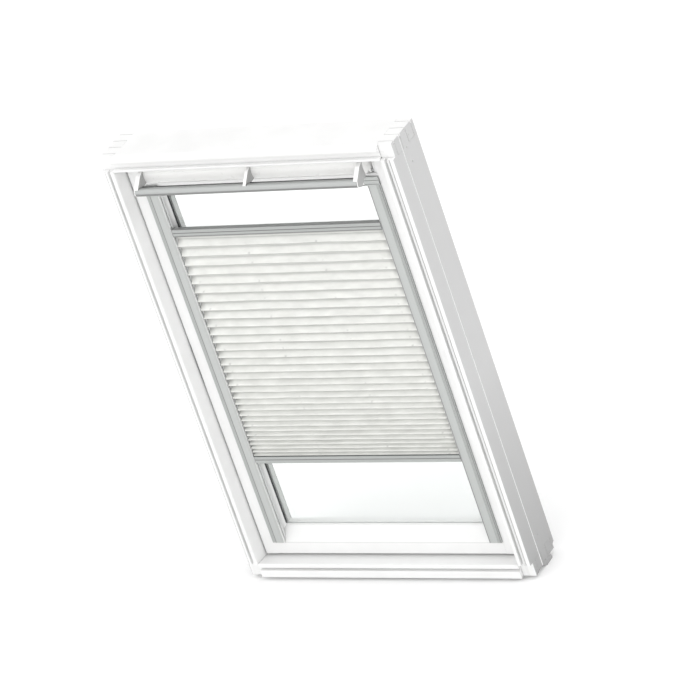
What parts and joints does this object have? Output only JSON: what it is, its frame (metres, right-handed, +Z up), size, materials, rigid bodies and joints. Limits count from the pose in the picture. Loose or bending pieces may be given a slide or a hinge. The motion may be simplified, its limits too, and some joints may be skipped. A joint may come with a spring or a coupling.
{
  "type": "skylight window blind",
  "caption": "Centre-pivot roof window with a ventilation flap and control bar, and a pleated blind whose top and bottom rails slide in side channels on the sash.",
  "frame": {"origin": "middle of the flat ridge under the bottom member, on which the frame stands", "axes": "+X to the right seen from the room, +Y out to the weather, +Z up along the window"},
  "size_m": [0.78, 0.1675, 1.178],
  "materials": {
    "white_paint": "smooth white paint on pine, semi-matt",
    "cream_plastic": "smooth moulded plastic, semi-gloss",
    "blind_aluminium": "satin anodised extrusion",
    "hardware_steel": "zinc plated, brushed",
    "cover_sheet": "grey coated folded sheet",
    "glass": "clear float glass",
    "spacer_metal": "matt spacer bar",
    "rubber": "matt black seal",
    "filter_foam": "open foam strip",
    "blind_fabric": "off-white pleated polyester, matt"
  },
  "bodies": {
    "outer_frame": {"frame_top": "white_paint", "frame_bottom": "white_paint", "frame_left": "white_paint", "frame_right": "white_paint", "striker_plate": "hardware_steel", "frame_seal": "rubber", "frame_cover_left": "cover_sheet", "frame_cover_right": "cover_sheet", "top_casing": "cover_sheet", "sill_cover": "cover_sheet", "hinge_plate_left": "hardware_steel", "hinge_plate_right": "hardware_steel"},
    "sash": {"sash_top": "white_paint", "sash_bottom": "white_paint", "sash_left": "white_paint", "sash_right": "white_paint", "inner_pane": "glass", "outer_pane": "glass", "pane_spacer": "spacer_metal", "glazing_gasket": "rubber", "sash_cover_left": "cover_sheet", "sash_cover_right": "cover_sheet", "sash_cover_bottom": "cover_sheet", "sash_cover_top": "cover_sheet", "hinge_arm_left": "hardware_steel", "hinge_arm_right": "hardware_steel", "lock_case": "hardware_steel", "air_filter_left": "filter_foam", "air_filter_right": "filter_foam", "flap_pin_left": "hardware_steel", "flap_pin_right": "hardware_steel", "blind_channel_left": "blind_aluminium", "blind_channel_right": "blind_aluminium", "channel_cap_left": "blind_aluminium", "channel_cap_right": "blind_aluminium"},
    "ventilation_flap": {"vent_flap": "cream_plastic", "control_bar": "blind_aluminium", "bar_bracket_left": "cream_plastic", "bar_bracket_middle": "cream_plastic", "bar_bracket_right": "cream_plastic"},
    "bolt": {"lock_bolt": "hardware_steel"},
    "blind_top": {"top_rail": "blind_aluminium", "top_rail_slider_left": "cream_plastic", "top_rail_slider_right": "cream_plastic", "pleated_fabric": "blind_fabric"},
    "blind_bottom": {"bottom_rail": "blind_aluminium", "bottom_rail_slider_left": "cream_plastic", "bottom_rail_slider_right": "cream_plastic"}
  },
  "joints": [
    {"name": "sash_hinge", "type": "hinge", "parent": "outer_frame", "child": "sash", "pos_m": [0, -0.03, 0.593], "axis": [1, 0, 0], "range_deg": [0, 160]},
    {"name": "flap_hinge", "type": "hinge", "parent": "sash", "child": "ventilation_flap", "pos_m": [0, -0.04, 1.096], "axis": [1, 0, 0], "range_deg": [0, 35]},
    {"name": "bolt_slide", "type": "slide", "parent": "sash", "child": "bolt", "axis": [0, 0, 1], "range_m": [0, 0.014]},
    {"name": "top_rail_slide", "type": "slide", "parent": "sash", "child": "blind_top", "axis": [0, 0, 1], "range_m": [0, 0.075]},
    {"name": "bottom_rail_slide", "type": "slide", "parent": "blind_top", "child": "blind_bottom", "axis": [0, 0, 1], "range_m": [-0.214, 0.545], "deforming": ["pleated_fabric"]}
  ]
}
